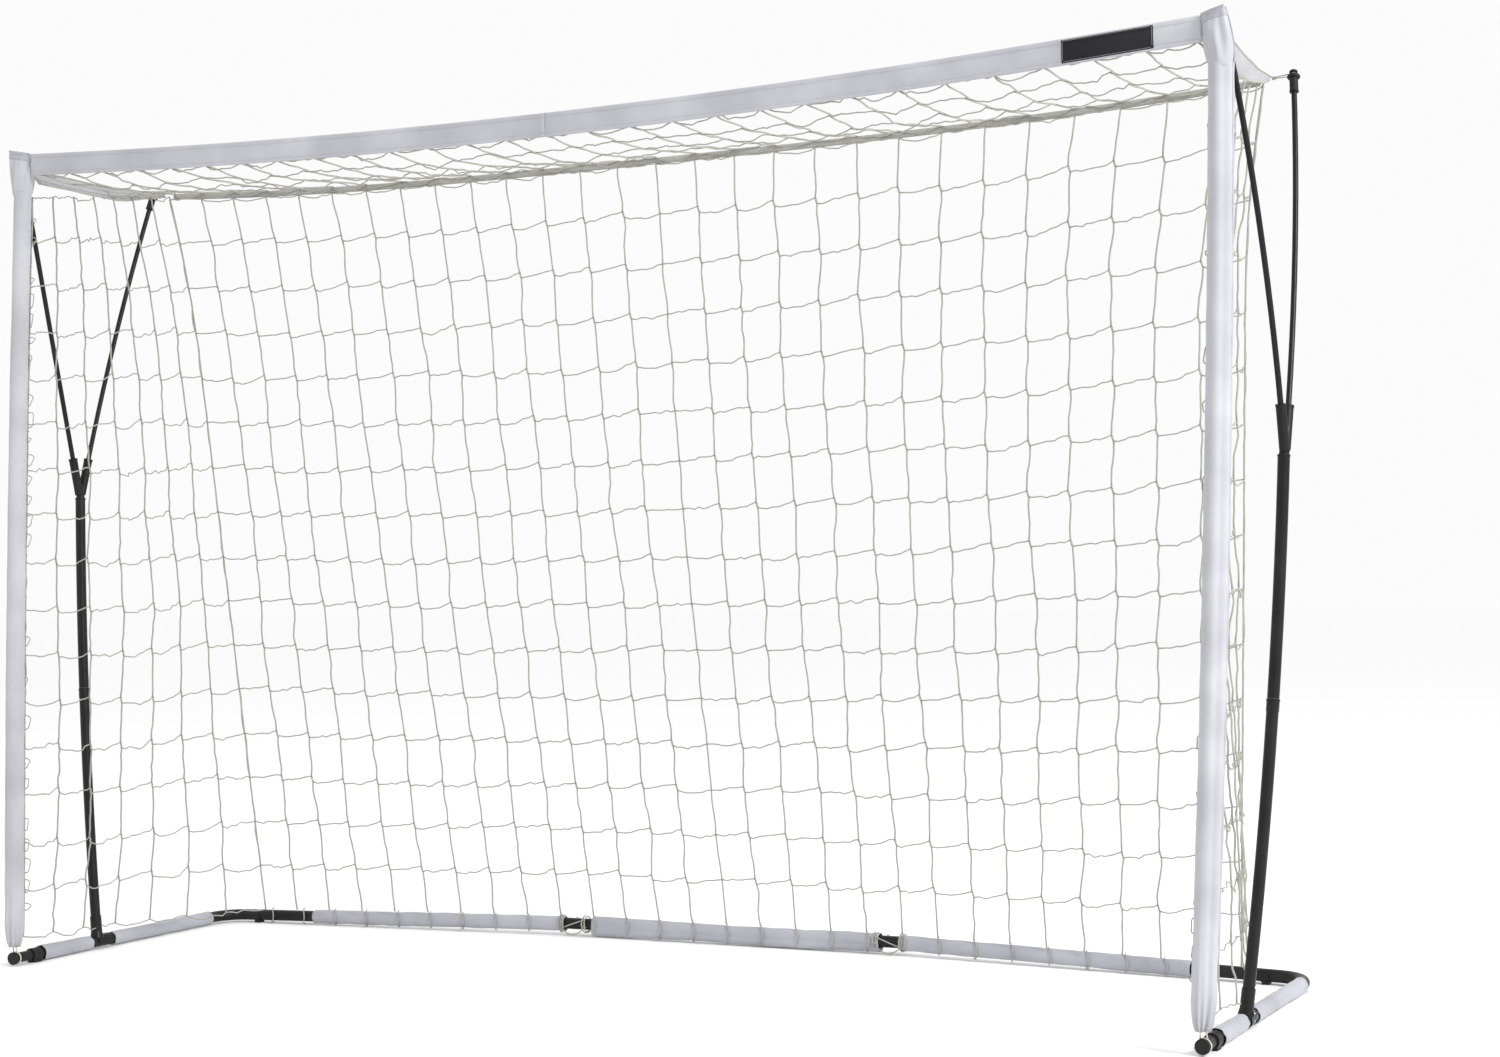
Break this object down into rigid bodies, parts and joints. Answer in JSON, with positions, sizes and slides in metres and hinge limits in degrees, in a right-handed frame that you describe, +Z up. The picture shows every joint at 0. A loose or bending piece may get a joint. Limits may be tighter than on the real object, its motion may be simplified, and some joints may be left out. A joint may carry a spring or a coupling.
{
  "type": "soccer goal frame",
  "caption": "Free-standing portable soccer goal with a steel ground frame, socketed side uprights, flexible rods, fabric posts and crossbar, and a knotted net.",
  "frame": {"origin": "on the floor, under the middle of the goal's overall width and depth", "axes": "+Z up, +X to the goal's right seen from the front, opening towards -Y"},
  "size_m": [3.2036, 0.9687, 2.0299],
  "materials": {
    "black_tube": "semi-gloss powder coat",
    "bare_steel": "zinc plated",
    "black_plastic": "moulded, fine grain",
    "black_rod": "resin rod, soft sheen",
    "white_cloth": "plain-weave polyester",
    "sleeve_cloth": "plain-weave polyester",
    "patch_cloth": "woven patch",
    "webbing": "flat webbing",
    "elastic": "braided elastic",
    "twine": "knotted twine"
  },
  "bodies": {
    "base": {"rear_tube": "black_tube", "socket_rivets": "bare_steel", "rear_middle_sleeve": "sleeve_cloth", "crossbar_sleeve": "white_cloth", "crossbar_patch": "patch_cloth", "rear_strap": "webbing", "back_net": "twine", "roof_net": "twine", "left_rail": "black_tube", "left_rear_spigot": "bare_steel", "left_front_stub": "black_tube", "left_end_cap": "black_plastic", "left_front_foot": "black_plastic", "left_rear_foot": "black_plastic", "left_socket": "black_tube", "left_button_spring": "bare_steel", "left_post_loop": "elastic", "left_front_rail_sleeve": "sleeve_cloth", "left_rear_rail_sleeve": "sleeve_cloth", "left_rear_bar_sleeve": "sleeve_cloth", "left_side_net": "twine", "right_rail": "black_tube", "right_rear_spigot": "bare_steel", "right_front_stub": "black_tube", "right_end_cap": "black_plastic", "right_front_foot": "black_plastic", "right_rear_foot": "black_plastic", "right_socket": "black_tube", "right_button_spring": "bare_steel", "right_post_loop": "elastic", "right_front_rail_sleeve": "sleeve_cloth", "right_rear_rail_sleeve": "sleeve_cloth", "right_rear_bar_sleeve": "sleeve_cloth", "right_side_net": "twine"},
    "left_upright": {"left_lower_upright": "black_tube", "left_upright_spigot": "bare_steel", "left_upper_upright": "black_tube", "left_y_connector": "black_plastic", "left_front_rod": "black_rod", "left_rear_rod": "black_rod", "left_rod_tip": "black_plastic", "left_cord_knob": "black_plastic", "left_tie_cord": "twine", "left_post_sleeve": "white_cloth", "left_corner_pocket": "white_cloth", "left_gusset": "white_cloth"},
    "left_button": {"left_button": "bare_steel"},
    "right_upright": {"right_lower_upright": "black_tube", "right_upright_spigot": "bare_steel", "right_upper_upright": "black_tube", "right_y_connector": "black_plastic", "right_front_rod": "black_rod", "right_rear_rod": "black_rod", "right_rod_tip": "black_plastic", "right_cord_knob": "black_plastic", "right_tie_cord": "twine", "right_post_sleeve": "white_cloth", "right_corner_pocket": "white_cloth", "right_gusset": "white_cloth"},
    "right_button": {"right_button": "bare_steel"}
  },
  "joints": [
    {"name": "left_upright_lift", "type": "slide", "parent": "base", "child": "left_upright", "axis": [-0.1184, 0.0485, 0.9918], "range_m": [0, 0.045]},
    {"name": "left_button_press", "type": "slide", "parent": "base", "child": "left_button", "axis": [0, 0, -1], "range_m": [0, 0.0035], "stiffness_N_per_m": 1500, "springref_m": -0.003, "deforming": ["left_button_spring"]},
    {"name": "right_upright_lift", "type": "slide", "parent": "base", "child": "right_upright", "axis": [0.1184, 0.0485, 0.9918], "range_m": [0, 0.045]},
    {"name": "right_button_press", "type": "slide", "parent": "base", "child": "right_button", "axis": [0, 0, -1], "range_m": [0, 0.0035], "stiffness_N_per_m": 1500, "springref_m": -0.003, "deforming": ["right_button_spring"]}
  ]
}
